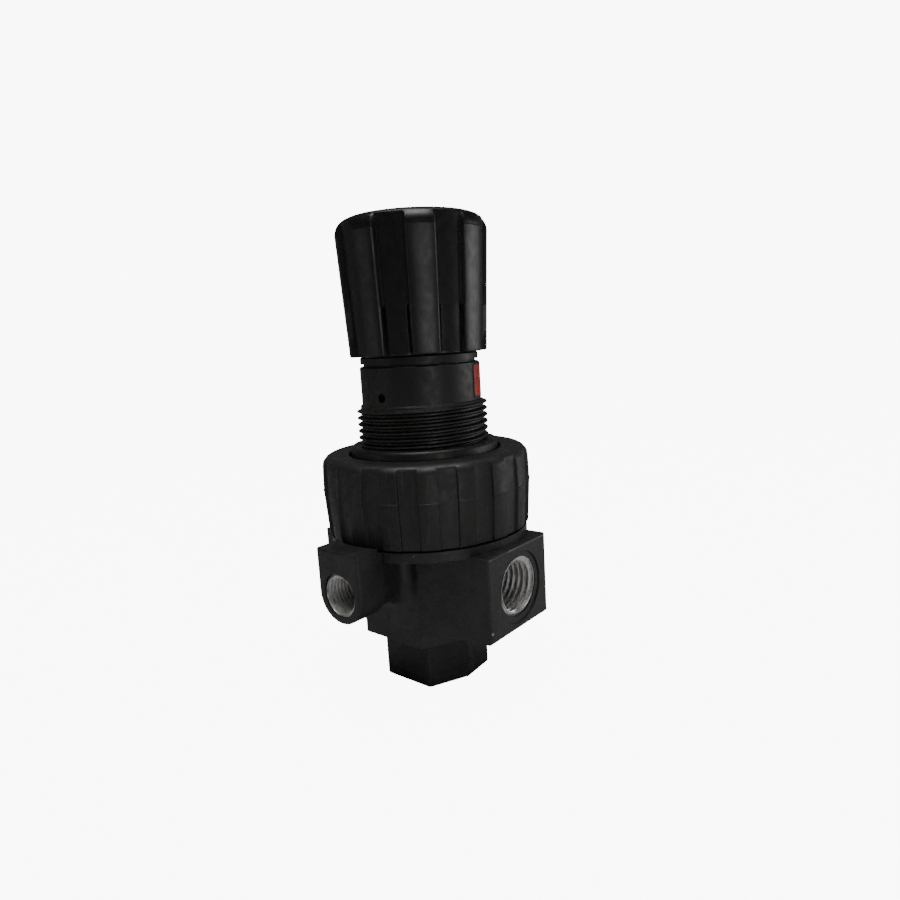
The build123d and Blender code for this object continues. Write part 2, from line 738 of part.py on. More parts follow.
with BuildPart() as knob:
    with BuildSketch(Plane.XZ):
        with BuildLine():
            Polyline(
                (0, knob_bottom_z),
                (knob_radius_bottom, knob_bottom_z),
                (knob_radius_top, knob_top_z),
                (0, knob_top_z),
                close=True,
            )
        make_face()
    revolve(axis=Axis.Z)
    fillet(knob.faces().sort_by(Axis.Z)[-1].edges(), knob_top_round)
    # recesses between the grip ribs
    for rib in range(knob_ribs):
        start = knob_phase + rib * 2 * rib_angle + rib_angle / 2
        with BuildSketch(Plane.XZ.rotated((0, 0, start))):
            with BuildLine():
                Polyline(
                    (knob_radius_bottom - knob_rib_depth, knob_bottom_z - cut_over),
                    (knob_radius_top - knob_rib_depth, knob_top_z + cut_over),
                    (knob_radius_top + cut_over, knob_top_z + cut_over),
                    (knob_radius_top + cut_over, knob_bottom_z - cut_over),
                    close=True,
                )
            make_face()
        revolve(axis=Axis.Z, revolution_arc=rib_angle, mode=Mode.SUBTRACT)
    # hollow skirt round a central hub with a hexagonal socket
    with BuildSketch(Plane.XY.offset(knob_bottom_z)):
        Circle(skirt_radius)
    extrude(amount=knob_inner_top_z - knob_bottom_z, mode=Mode.SUBTRACT)
    with BuildSketch(Plane.XY.offset(hub_bottom_z)):
        Circle(knob_hub_radius)
    extrude(amount=knob_inner_top_z - hub_bottom_z)
    with BuildSketch(Plane.XY.offset(hub_bottom_z)):
        RegularPolygon(screw_hex / 2 + running_clearance, 6, major_radius=False)
    extrude(amount=socket_top_z - hub_bottom_z, mode=Mode.SUBTRACT)
finish(knob, "knob")
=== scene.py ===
"""An in-line pressure regulator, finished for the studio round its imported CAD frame."""

import json
import logging
import math
from collections.abc import Callable, Sequence
from dataclasses import dataclass
from enum import Enum

import bpy
from mathutils import Matrix, Vector

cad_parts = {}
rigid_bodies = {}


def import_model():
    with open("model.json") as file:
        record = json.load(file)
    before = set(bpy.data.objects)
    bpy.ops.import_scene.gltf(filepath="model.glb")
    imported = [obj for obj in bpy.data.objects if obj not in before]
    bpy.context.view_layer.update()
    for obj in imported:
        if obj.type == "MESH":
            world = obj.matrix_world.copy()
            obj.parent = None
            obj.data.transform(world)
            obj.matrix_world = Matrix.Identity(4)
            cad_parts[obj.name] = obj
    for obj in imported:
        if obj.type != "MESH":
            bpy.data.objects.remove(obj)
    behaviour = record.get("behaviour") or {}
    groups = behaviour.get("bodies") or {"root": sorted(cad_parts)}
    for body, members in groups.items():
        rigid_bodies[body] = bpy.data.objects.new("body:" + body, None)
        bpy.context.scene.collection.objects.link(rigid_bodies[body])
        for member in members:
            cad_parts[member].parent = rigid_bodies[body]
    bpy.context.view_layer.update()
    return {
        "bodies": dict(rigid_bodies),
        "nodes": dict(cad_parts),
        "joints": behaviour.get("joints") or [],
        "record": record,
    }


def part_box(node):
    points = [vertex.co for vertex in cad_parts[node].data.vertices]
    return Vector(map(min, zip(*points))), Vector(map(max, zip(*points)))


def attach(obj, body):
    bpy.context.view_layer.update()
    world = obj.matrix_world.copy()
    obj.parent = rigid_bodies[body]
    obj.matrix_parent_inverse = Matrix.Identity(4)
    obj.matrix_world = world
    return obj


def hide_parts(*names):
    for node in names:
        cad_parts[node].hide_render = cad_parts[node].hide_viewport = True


LOG = logging.getLogger("regulator")
MM = 0.001
AXIS = (0.0, 0.0, 0.0)
WELD = 0.002  # millimetres between points that count as one
SMALL_TURN = 0.01  # degrees that a column may stay off its angle
SKIN = 0.02  # millimetres within which a point lies on the outer surface
PLAY = 0.01  # millimetres of play when levels or radii are compared
PINHOLE = 0.4  # millimetres: radius of a loop that is then gathered on the axis
Outline = Sequence[tuple[float, float]]
Triple = tuple[float, float, float]
Object = bpy.types.Object
Vertex = bpy.types.MeshVertex
Material = bpy.types.Material
Socket = bpy.types.NodeSocket


class Slot(Enum):
    """The record's material slot names, one given with each kind of new piece."""

    BONNET = "bonnet_plastic"
    RING = "ring_plastic"
    KNOB = "knob_plastic"
    CASTING = "body_paint"


class Direction(Enum):
    """The way that each port faces, under its mount's name in capitals."""

    OUTLET_PORT = (1.0, 0.0, 0.0)
    INLET_PORT = (-1.0, 0.0, 0.0)
    GAUGE_PORT_FRONT = (0.0, -1.0, 0.0)
    GAUGE_PORT_BACK = (0.0, 1.0, 0.0)


# ------------------------------------------------------------------ bench tools
def deselect_everything() -> None:
    """Leave every object unselected."""
    bpy.ops.object.select_all(action="DESELECT")


def use(shape: Object) -> None:
    """Make one object the only selected and the active one."""
    deselect_everything()
    shape.select_set(True)
    bpy.context.view_layer.objects.active = shape


def edit_everything() -> None:
    """Open the active object's mesh with all of it selected."""
    bpy.ops.object.mode_set(mode="EDIT")
    bpy.ops.mesh.select_all(action="SELECT")


def stop_editing() -> None:
    """Go back from the mesh to the object."""
    bpy.ops.object.mode_set(mode="OBJECT")


def newest(name: str) -> Object:
    """Give the object that was just added, after naming it and its mesh."""
    shape = bpy.context.object
    shape.name = shape.data.name = name
    return shape


def settle() -> None:
    """Move the selected object's own placing into its mesh."""
    bpy.ops.object.transform_apply(location=True, rotation=True, scale=True)


def resize(x: float, y: float, z: float = 1.0, centre: Triple = AXIS) -> None:
    """Scale what is selected about a point."""
    bpy.ops.transform.resize(value=(x, y, z), center_override=centre)


def pick(shape: Object, test: Callable[[Vertex], bool]) -> None:
    """Select in edit mode the vertices that pass a test, and no others.

    Args:
        shape: The active object, in either mode.
        test: Says whether a vertex is wanted.
    """
    bpy.ops.object.mode_set(mode="EDIT")
    bpy.ops.mesh.select_mode(type="VERT")
    bpy.ops.mesh.select_all(action="DESELECT")
    stop_editing()
    for vertex in shape.data.vertices:
        vertex.select = test(vertex)
    bpy.ops.object.mode_set(mode="EDIT")


def apply_modifier(shape: Object, kind: str, **settings: object) -> None:
    """Add a modifier with its settings and apply it at once.

    Args:
        shape: The object to change.
        kind: Blender's name for the modifier type.
        settings: The modifier's own properties.
    """
    use(shape)
    modifier = shape.modifiers.new(kind.lower(), kind)
    for name, value in settings.items():
        setattr(modifier, name, value)
    bpy.ops.object.modifier_apply(modifier=modifier.name)


def finish_mesh(shape: Object, crease: float) -> None:
    """Merge doubles, turn the faces outwards and shade the piece.

    Args:
        shape: The object to finish.
        crease: Edges sharper than this many degrees stay crisp.
    """
    use(shape)
    edit_everything()
    bpy.ops.mesh.remove_doubles(threshold=WELD * MM)
    bpy.ops.mesh.normals_make_consistent(inside=False)
    stop_editing()
    bpy.ops.object.shade_smooth_by_angle(angle=math.radians(crease))


def polar(vertex: Vertex) -> tuple[float, float, float]:
    """Give a vertex's radius, angle in degrees and level.

    Returns:
        Radius and level in millimetres, with the angle between them.
    """
    x, y, z = vertex.co
    return math.hypot(x, y) / MM, math.degrees(math.atan2(y, x)), z / MM


def turned(name: str, outline: Outline, corners: int, phase: float = 0.0) -> Object:
    """Build a turned shape by extruding one round loop along an outline.

    Args:
        name: The new piece's name.
        outline: Radius and level of each loop, in millimetres, closing on the first.
        corners: Vertices in each loop.
        phase: Angle of the first vertex, in degrees.

    Returns:
        The new object, in object mode, with its last loop selected.
    """
    radius, level = outline[0]
    deselect_everything()
    bpy.ops.mesh.primitive_circle_add(
        vertices=corners,
        radius=radius * MM,
        location=(0.0, 0.0, level * MM),
        rotation=(0.0, 0.0, math.radians(phase - 90.0)),
    )
    shape = newest(name)
    settle()
    edit_everything()
    for next_radius, next_level in outline[1:]:
        rise = (0.0, 0.0, (next_level - level) * MM)
        bpy.ops.mesh.extrude_edges_move(TRANSFORM_OT_translate={"value": rise})
        spread = next_radius / radius
        resize(spread, spread)
        radius, level = next_radius, next_level
    stop_editing()
    return shape


def close_at_axis(shape: Object, radius: float, level: float) -> None:
    """Gather a small loop round the axis into one point.

    Args:
        shape: The turned object.
        radius: Vertices nearer the axis than this are gathered, in millimetres.
        level: Their level, in millimetres.
    """
    pick(shape, lambda v: polar(v)[0] < radius and abs(polar(v)[2] - level) < PLAY)
    bpy.ops.mesh.merge(type="CENTER")
    stop_editing()


def swing_columns(
    shape: Object, phase: float, columns: Sequence[float], middle: int, repeats: int
) -> dict[int, int]:
    """Turn each upright line of vertices of a turned shape to its angle in a repeated pattern.

    Args:
        shape: The turned object.
        phase: Angle of the pattern's middle, in degrees.
        columns: Angle of each line from that middle, in degrees.
        middle: Which line stands at the middle.
        repeats: How many times the pattern goes round.

    Returns:
        The line that each vertex lies on, or -1 for one on the axis.
    """
    use(shape)
    step = 360.0 / (repeats * len(columns))
    column = {}
    for vertex in shape.data.vertices:
        radius, angle, _ = polar(vertex)
        turn = round((angle - phase) / step)
        column[vertex.index] = (turn + middle) % len(columns) if radius > 1.0 else -1
    for index, target in enumerate(columns):
        shift = target - (index - middle) * step
        if abs(shift) > SMALL_TURN:
            pick(shape, lambda v, want=index: column[v.index] == want)
            bpy.ops.transform.rotate(
                value=-math.radians(shift), orient_axis="Z", center_override=AXIS
            )
            stop_editing()
    return column


def outer_levels(shape: Object, inner: float) -> list[tuple[float, float]]:
    """List the levels that have vertices outside a radius, before any are moved.

    Args:
        shape: The turned object.
        inner: The radius, in millimetres.

    Returns:
        Each level with its largest radius, from the bottom up.
    """
    places = [polar(v) for v in shape.data.vertices]
    levels = sorted({round(level, 3) for radius, _, level in places if radius > inner})
    return [
        (level, max(radius for radius, _, at in places if abs(at - level) < WELD))
        for level in levels
    ]


def draw_in(
    shape: Object,
    column: dict[int, int],
    wanted: Sequence[int],
    level: float,
    outer: float,
    radius: float,
) -> None:
    """Bring some lines' outermost vertices at one level to a new radius.

    Args:
        shape: The turned object.
        column: The line that each vertex lies on.
        wanted: The lines to move.
        level: The vertices' level, in millimetres.
        outer: Their radius now, in millimetres.
        radius: Their radius afterwards, in millimetres.
    """
    pick(
        shape,
        lambda v: column[v.index] in wanted
        and abs(polar(v)[2] - level) < WELD
        and polar(v)[0] > outer - SKIN,
    )
    spread = radius / outer
    resize(spread, spread)
    stop_editing()


def arc(
    centre: tuple[float, float], radius: float, angles: Sequence[float]
) -> list[tuple[float, float]]:
    """Give points of a rounding, each angle measured in degrees from straight up.

    Returns:
        Radius and level of each point.
    """
    turns = [math.radians(angle) for angle in angles]
    return [(centre[0] + radius * math.sin(t), centre[1] + radius * math.cos(t)) for t in turns]


def cut_away(shape: Object, cutter: Object) -> None:
    """Subtract one object from another and delete the cutter."""
    apply_modifier(shape, "BOOLEAN", object=cutter, operation="DIFFERENCE", solver="EXACT")
    use(cutter)
    bpy.ops.object.delete()


# ------------------------------------------------------------------ finishes
class Finish:
    """A node material that is built one node at a time."""

    edge_facing = (0.995, 0.9)

    def __init__(self, name: str) -> None:
        """Start with a bare shader on an empty material."""
        self.material = bpy.data.materials.new(name)
        self.material.use_nodes = True
        self.tree = self.material.node_tree
        self.tree.nodes.clear()
        self.shader = self.tree.nodes.new("ShaderNodeBsdfPrincipled")
        output = self.tree.nodes.new("ShaderNodeOutputMaterial")
        self.tree.links.new(self.shader.outputs[0], output.inputs[0])
        self.place = self.tree.nodes.new("ShaderNodeTexCoord").outputs["Object"]

    def put(self, socket: Socket, value: object) -> None:
        """Link a socket to another, or set its constant."""
        if isinstance(value, Socket):
            self.tree.links.new(value, socket)
        elif isinstance(value, tuple) and len(value) == 3 and len(socket.default_value) == 4:
            socket.default_value = (*value, 1.0)
        else:
            socket.default_value = value

    def surface(self, **values: object) -> None:
        """Set the shader's sockets, named with underscores for spaces."""
        for name, value in values.items():
            self.put(self.shader.inputs[name.replace("_", " ")], value)

    def node(self, kind: str, inputs: dict, **settings: object) -> bpy.types.Node:
        """Add a node with its settings and inputs.

        Args:
            kind: The node's type without its common prefix.
            inputs: Value or socket for each input, by name or index.
            settings: The node's own properties.

        Returns:
            The node.
        """
        made = self.tree.nodes.new("ShaderNode" + kind)
        for name, value in settings.items():
            setattr(made, name, value)
        for key, value in inputs.items():
            self.put(made.inputs[key], value)
        return made

    def sum(self, operation: str, *values: object) -> Socket:
        """Work out one arithmetic step on sockets or numbers."""
        return self.node("Math", dict(enumerate(values)), operation=operation).outputs[0]

    def stretched(self, scale: Triple, turn: Triple = AXIS) -> Socket:
        """Give object coordinates scaled and turned for a directional pattern."""
        inputs = {"Vector": self.place, "Scale": scale, "Rotation": turn}
        return self.node("Mapping", inputs).outputs[0]

    def grain(self, size: float, detail: float = 3.0, place: Socket | None = None) -> Socket:
        """Give noise whose lumps measure about this many millimetres."""
        inputs = {"Vector": place or self.place, "Scale": 1.0 / (size * MM), "Detail": detail}
        return self.node("TexNoise", inputs).outputs["Fac"]

    def blend(
        self, value: object, low: float, high: float, to_low: float = 0.0, to_high: float = 1.0
    ) -> Socket:
        """Map a value smoothly from one range to another."""
        inputs = dict(enumerate((value, low, high, to_low, to_high)))
        return self.node("MapRange", inputs, interpolation_type="SMOOTHSTEP").outputs[0]

    def mix(self, amount: object, first: object, second: object) -> Socket:
        """Mix two colours."""
        made = self.node("Mix", {"Factor": amount}, data_type="RGBA")
        self.put(made.inputs["A"], first)
        self.put(made.inputs["B"], second)
        return made.outputs["Result"]

    def relief(self, height: object, depth: float, under: Socket | None = None) -> Socket:
        """Raise the surface by a height of this many millimetres."""
        inputs = {"Height": height, "Distance": depth * MM, "Strength": 1.0}
        if under is not None:
            inputs["Normal"] = under
        return self.node("Bump", inputs).outputs[0]

    def edges(self, width: float) -> Socket:
        """Give a mask that is one along the outer edges of a shape."""
        rounded = self.node("Bevel", {"Radius": width * MM}, samples=3).outputs[0]
        flat = self.node("NewGeometry", {}).outputs["Normal"]
        facing = self.node("VectorMath", {0: rounded, 1: flat}, operation="DOT_PRODUCT")
        return self.blend(facing.outputs["Value"], *self.edge_facing)

    def levels(self) -> tuple[Socket, Socket, Socket]:
        """Give the three object coordinates, in metres."""
        parts = self.node("SeparateXYZ", {0: self.place}).outputs
        return parts[0], parts[1], parts[2]

    def spot(self, centre: Triple, radius: float, ragged: float) -> Socket:
        """Give a mask of a small ragged patch.

        Args:
            centre: Its middle, in millimetres.
            radius: Its radius, in millimetres.
            ragged: How far its rim wanders, in millimetres.

        Returns:
            One inside the patch and nothing outside.
        """
        middle = tuple(value * MM for value in centre)
        away = self.node("VectorMath", {0: self.place, 1: middle}, operation="DISTANCE")
        wander = self.sum("MULTIPLY", self.grain(0.7), ragged * MM)
        reach = self.sum("ADD", away.outputs["Value"], wander)
        return self.blend(reach, (radius + ragged) * MM, radius * MM)


@dataclass(frozen=True)
class CastPaint:
    """Satin black paint over a die casting, worn through at its edges."""

    colour: Triple = (0.0145, 0.0145, 0.0143)
    dusty: Triple = (0.024, 0.024, 0.0234)
    dust: Triple = (0.025, 0.025, 0.024)
    metal: Triple = (0.42, 0.42, 0.40)
    roughness: tuple[float, float] = (0.36, 0.54)
    peel: float = 0.55
    peel_depth: float = 0.014
    swell: float = 6.0
    swell_depth: float = 0.22
    film: float = 0.03
    edge_width: float = 0.28
    edge_wear: float = 0.16
    chip: Triple = (25.0, -10.4, 18.7)
    chip_radius: float = 0.3
    chip_ragged: float = 0.25
    rim: tuple[float, float] = (22.7, 22.9)
    rim_levels: tuple[float, float] = (34.3, 36.9)

    def make(self) -> Material:
        """Build the material."""
        paint = Finish("cast_paint")
        cloud = paint.grain(self.swell, 4.0)
        dust = paint.blend(paint.grain(0.32, 6.0), 0.6, 0.76, 0.0, 0.4)
        shade = paint.mix(paint.blend(cloud, 0.35, 0.7, 0.0, 0.75), self.colour, self.dusty)
        shade = paint.mix(dust, shade, self.dust)
        bare = self.bare_metal(paint)
        ridges = paint.relief(paint.grain(self.peel, 2.0), self.peel_depth)
        ridges = paint.relief(cloud, self.swell_depth, ridges)
        ridges = paint.relief(paint.sum("SUBTRACT", 1.0, bare), self.film, ridges)
        paint.surface(
            Base_Color=paint.mix(bare, shade, self.metal),
            Metallic=bare,
            Roughness=paint.blend(paint.grain(2.4, 5.0), 0.3, 0.7, *self.roughness),
            Normal=ridges,
        )
        return paint.material

    def bare_metal(self, paint: Finish) -> Socket:
        """Give the mask of bare metal: worn edges, glints on the flange's rim and one chip."""
        x, y, z = paint.levels()
        scuffed = paint.blend(paint.grain(1.3, 5.0), 0.52, 0.66)
        wear = paint.sum("MULTIPLY", paint.edges(self.edge_width), scuffed)
        wear = paint.sum("MULTIPLY", wear, self.edge_wear)
        squares = (paint.sum("MULTIPLY", part, part) for part in (x, y))
        radius = paint.sum("SQRT", paint.sum("ADD", *squares))
        rim = paint.blend(radius, *(edge * MM for edge in self.rim))
        low, high = (level * MM for level in self.rim_levels)
        rim = paint.sum("MULTIPLY", rim, paint.sum("GREATER_THAN", z, low))
        rim = paint.sum("MULTIPLY", rim, paint.sum("LESS_THAN", z, high))
        glint = paint.blend(paint.grain(0.85, 2.0), 0.74, 0.77)
        bare = paint.sum("MAXIMUM", wear, paint.sum("MULTIPLY", rim, glint))
        chip = paint.spot(self.chip, self.chip_radius, self.chip_ragged)
        return paint.sum("MAXIMUM", bare, chip)


@dataclass(frozen=True)
class MouldedPlastic:
    """Black moulded plastic with a fine grain, a faint bloom and light scuffs."""

    name: str
    colour: Triple
    bloom: Triple
    roughness: tuple[float, float]
    scuffed: Triple = (0.13, 0.128, 0.12)
    grain: float = 0.16
    grain_depth: float = 0.008
    cloud_depth: float = 0.05
    scuffs: float = 0.10
    scuff_ways: Outline = ((0.4, 0.9), (-0.7, 1.3), (1.25, 1.1))
    scuff_shape: tuple[float, float] = (40.0, 1.6)
    specks: float = 0.3
    speck_shade: float = 2.1
    edge_width: float = 0.35
    edge_polish: float = 0.12
    streaks: float = 0.0
    scratch: Triple | None = None
    scratch_size: tuple[float, float] = (0.9, 0.5)

    def make(self) -> Material:
        """Build the material."""
        plastic = Finish(self.name)
        cloud = plastic.grain(4.5, 5.0)
        speck = plastic.blend(plastic.grain(0.22, 4.0), 0.62, 0.78, 0.0, self.specks)
        shade = plastic.mix(plastic.blend(cloud, 0.32, 0.72), self.colour, self.bloom)
        pale = tuple(self.speck_shade * part for part in self.bloom)
        shade = plastic.mix(speck, shade, pale)
        relief = plastic.relief(plastic.grain(self.grain, 2.0), self.grain_depth)
        relief = plastic.relief(cloud, self.cloud_depth, relief)
        plastic.surface(
            Base_Color=plastic.mix(self.rubbed(plastic), shade, self.scuffed),
            Roughness=plastic.blend(plastic.grain(1.7, 4.0), 0.3, 0.7, *self.roughness),
            Normal=relief,
        )
        return plastic.material

    def rubbed(self, plastic: Finish) -> Socket:
        """Give the mask of pale marks: scuffs, polished edges, streaks and one scratch."""
        light = plastic.sum("MULTIPLY", plastic.edges(self.edge_width), self.edge_polish)
        across, along = self.scuff_shape
        for turn, scale in self.scuff_ways:
            stretch = (across * scale, across * scale, along)
            place = plastic.stretched(stretch, (turn, 0.5 * turn, turn))
            line = plastic.grain(38.0, 3.0, place)
            light = plastic.sum("MAXIMUM", light, plastic.blend(line, 0.70, 0.72, 0.0, self.scuffs))
        if self.streaks:
            upright = plastic.grain(1.1, 3.0, plastic.stretched((1.0, 1.0, 0.06)))
            flow = plastic.blend(upright, 0.45, 0.75, 0.0, self.streaks)
            light = plastic.sum("MAXIMUM", light, flow)
        if self.scratch:
            patch = plastic.spot(self.scratch, *self.scratch_size)
            nick = plastic.blend(plastic.grain(0.34, 2.0), 0.58, 0.64)
            light = plastic.sum("MAXIMUM", light, plastic.sum("MULTIPLY", patch, nick))
        return light


@dataclass(frozen=True)
class TurnedMetal:
    """Metal cut on a lathe, with fine tool rings and stains."""

    name: str
    colour: Triple
    stain: Triple
    roughness: float = 0.28
    ring: float = 0.12
    ring_depth: float = 0.006

    def make(self) -> Material:
        """Build the material."""
        metal = Finish(self.name)
        rings = metal.grain(self.ring, 2.0, metal.stretched((0.04, 0.04, 1.0)))
        stains = metal.blend(metal.grain(1.4, 5.0), 0.42, 0.72)
        smooth, rough = 0.7 * self.roughness, 1.4 * self.roughness
        metal.surface(
            Base_Color=metal.mix(stains, self.colour, self.stain),
            Metallic=1.0,
            Roughness=metal.blend(metal.grain(0.6, 3.0), 0.3, 0.7, smooth, rough),
            Normal=metal.relief(rings, self.ring_depth),
        )
        return metal.material


@dataclass(frozen=True)
class SoftPolymer:
    """Rubber or slippery bearing plastic: even, fine grained, slightly mottled."""

    name: str
    colour: Triple
    mottled: Triple
    roughness: float
    grain: float = 0.09
    grain_depth: float = 0.006

    def make(self) -> Material:
        """Build the material."""
        polymer = Finish(self.name)
        smooth, rough = self.roughness - 0.1, self.roughness + 0.1
        polymer.surface(
            Base_Color=polymer.mix(polymer.grain(1.2, 5.0), self.colour, self.mottled),
            Roughness=polymer.blend(polymer.grain(0.5, 3.0), 0.3, 0.7, smooth, rough),
            Normal=polymer.relief(polymer.grain(self.grain, 2.0), self.grain_depth),
        )
        return polymer.material


@dataclass(frozen=True)
class PrintedFoil:
    """Red foil label with a dark border and a column of plain marks."""

    start: float = 10.0
    sweep: float = 90.0
    radius: float = 13.78
    border: float = 0.42
    corner: float = 1.2
    marks_at: float = 2.3
    mark_width: float = 0.5
    mark_pitch: float = 0.95
    mark_share: float = 0.4
    mark_margin: float = 0.5
    red: Triple = (0.72, 0.045, 0.025)
    faded_red: Triple = (0.55, 0.02, 0.014)
    ink: Triple = (0.03, 0.012, 0.012)
    black: Triple = (0.012, 0.012, 0.012)

    def make(self, bottom: float, top: float) -> Material:
        """Build the material.

        Args:
            bottom: The label's lower edge, in millimetres.
            top: The label's upper edge, in millimetres.

        Returns:
            The material.
        """
        foil = Finish("printed_foil")
        x, y, z = foil.levels()
        turn = foil.sum("SUBTRACT", foil.sum("ARCTAN2", y, x), math.radians(self.start))
        along = foil.sum("MULTIPLY", turn, self.radius)
        up = foil.sum("SUBTRACT", foil.sum("DIVIDE", z, MM), bottom)
        past = []
        for distance, size in ((along, math.radians(self.sweep) * self.radius), (up, top - bottom)):
            from_middle = foil.sum("ABSOLUTE", foil.sum("SUBTRACT", distance, size / 2))
            beyond = foil.sum("SUBTRACT", from_middle, size / 2 - self.corner)
            past.append(foil.sum("MAXIMUM", beyond, 0.0))
        squares = (foil.sum("MULTIPLY", part, part) for part in past)
        reach = foil.sum("SQRT", foil.sum("ADD", *squares))
        inset = foil.sum("SUBTRACT", self.corner, reach)
        inside = foil.blend(inset, self.border, self.border + 0.1)
        step = foil.sum("FRACT", foil.sum("DIVIDE", up, self.mark_pitch))
        off_step = foil.sum("ABSOLUTE", foil.sum("SUBTRACT", step, 0.5))
        tall = foil.sum("LESS_THAN", off_step, self.mark_share / 2)
        off_line = foil.sum("ABSOLUTE", foil.sum("SUBTRACT", along, self.marks_at))
        wide = foil.sum("LESS_THAN", off_line, self.mark_width / 2)
        margin = foil.sum("GREATER_THAN", inset, self.border + self.mark_margin)
        mark = foil.sum("MULTIPLY", foil.sum("MULTIPLY", tall, wide), margin)
        red = foil.mix(foil.grain(0.8, 4.0), self.red, self.faded_red)
        foil.surface(
            Base_Color=foil.mix(inside, self.black, foil.mix(mark, red, self.ink)),
            Roughness=foil.blend(foil.grain(0.9, 3.0), 0.3, 0.7, 0.26, 0.42),
            Normal=foil.relief(foil.grain(0.5, 2.0), 0.01),
        )
        return foil.material


# ------------------------------------------------------------------ pieces
@dataclass
class Knob:
    """The push-to-lock knob: broad ribs over a rounded shoulder, on a hollow skirt."""

    bottom_radius: float = 15.6
    top_radius: float = 17.05
    shoulder: float = 3.2
    rib_depth: float = 1.1
    rib_edge: float = 0.32
    edge_round: float = 0.14
    phase: float = -41.5
    seam_drop: float = 3.62
    seam_half: float = 0.12
    seam_height: float = 0.05
    slit_top: float = 9.7
    slit_radius: float = 14.2
    skirt_radius: float = 14.0
    lip: float = 0.3
    roof: float = 4.0
    hub_radius: float = 8.0
    hub_setback: float = 3.2
    socket_radius: float = 4.95
    socket_roof: float = 8.4
    crown_loops: tuple[float, ...] = (PINHOLE, 6.0, 11.0)
    waist_drop: float = 12.0
    foot_loops: tuple[float, float] = (4.5, 0.25)
    foot_round: float = 0.2
    crease: float = 50.0
    ribs: int = 8
    rib_columns: tuple[float, ...] = (-11.25, -10.0, -5.0, 0.0, 5.0, 10.0, 11.25)
    recess_columns: tuple[float, ...] = (12.1, 14.0, 22.5, 31.0, 32.9)
    rib_middle: int = 3
    rib_edges: tuple[int, ...] = (0, 6)
    slits: tuple[int, ...] = (7, 11)
    floors: tuple[int, ...] = (8, 9, 10)

    def build(self, material: Material) -> Object:
        """Model the knob and put it on its body.

        Returns:
            The finished piece.
        """
        low, high = span("knob")
        slope = (self.top_radius - self.bottom_radius) / (high - low)

        def cone(level: float) -> float:
            return self.bottom_radius + slope * (level - low)

        centre = (cone(high - self.shoulder) - self.shoulder, high - self.shoulder)
        seam = high - self.seam_drop
        slit_top = low + self.slit_top
        side = [seam + self.seam_half, seam, seam - self.seam_half, high - self.waist_drop]
        side += [slit_top + 0.5, slit_top, *(low + rise for rise in self.foot_loops)]
        outline = [(radius, high) for radius in self.crown_loops]
        outline += arc(centre, self.shoulder, (0, 15, 30, 43.7, 55, 67, 79, 90))
        for level in side:
            outline.append((cone(level) + (self.seam_height if level == seam else 0.0), level))
        foot = low - self.lip
        inner = high - self.roof
        hub_foot = low + self.hub_setback
        socket = high - self.socket_roof
        outline += [(cone(foot), foot + self.foot_round), (cone(foot) - self.foot_round, foot)]
        outline += [(self.skirt_radius, foot), (self.skirt_radius, inner)]
        outline += [(self.hub_radius, inner), (self.hub_radius, hub_foot)]
        outline += [(self.socket_radius, hub_foot), (self.socket_radius, socket), (PINHOLE, socket)]
        columns = self.rib_columns + self.recess_columns
        knob = turned("knob_shell", outline, self.ribs * len(columns), self.phase)
        for level in (high, socket):
            close_at_axis(knob, 1.5 * PINHOLE, level)
        column = swing_columns(knob, self.phase, columns, self.rib_middle, self.ribs)
        self.sink_recesses(knob, column, cone, slit_top)
        bevel = self.edge_round * MM
        apply_modifier(knob, "BEVEL", width=bevel, segments=2, angle_limit=math.radians(38))
        finish_mesh(knob, self.crease)
        return place_piece(knob, "knob", Slot.KNOB, material, "knob")

    def sink_recesses(
        self,
        knob: Object,
        column: dict[int, int],
        cone: Callable[[float], float],
        slit_top: float,
    ) -> None:
        """Push the recesses in, round the ribs' edges and cut each recess's two slits.

        Args:
            knob: The turned knob.
            column: The line that each vertex lies on.
            cone: Gives the ribs' radius at a level.
            slit_top: Where the slits end, in millimetres.
        """
        for level, outer in outer_levels(knob, self.skirt_radius + 0.05):
            floor = cone(level) - self.rib_depth
            if outer <= floor + PLAY:
                continue
            slit = self.slit_radius if level <= slit_top + PLAY else floor
            draw_in(knob, column, self.slits, level, outer, slit)
            draw_in(knob, column, self.floors, level, outer, floor)
            edge = max(outer - self.rib_edge, floor)
            draw_in(knob, column, self.rib_edges, level, outer, edge)


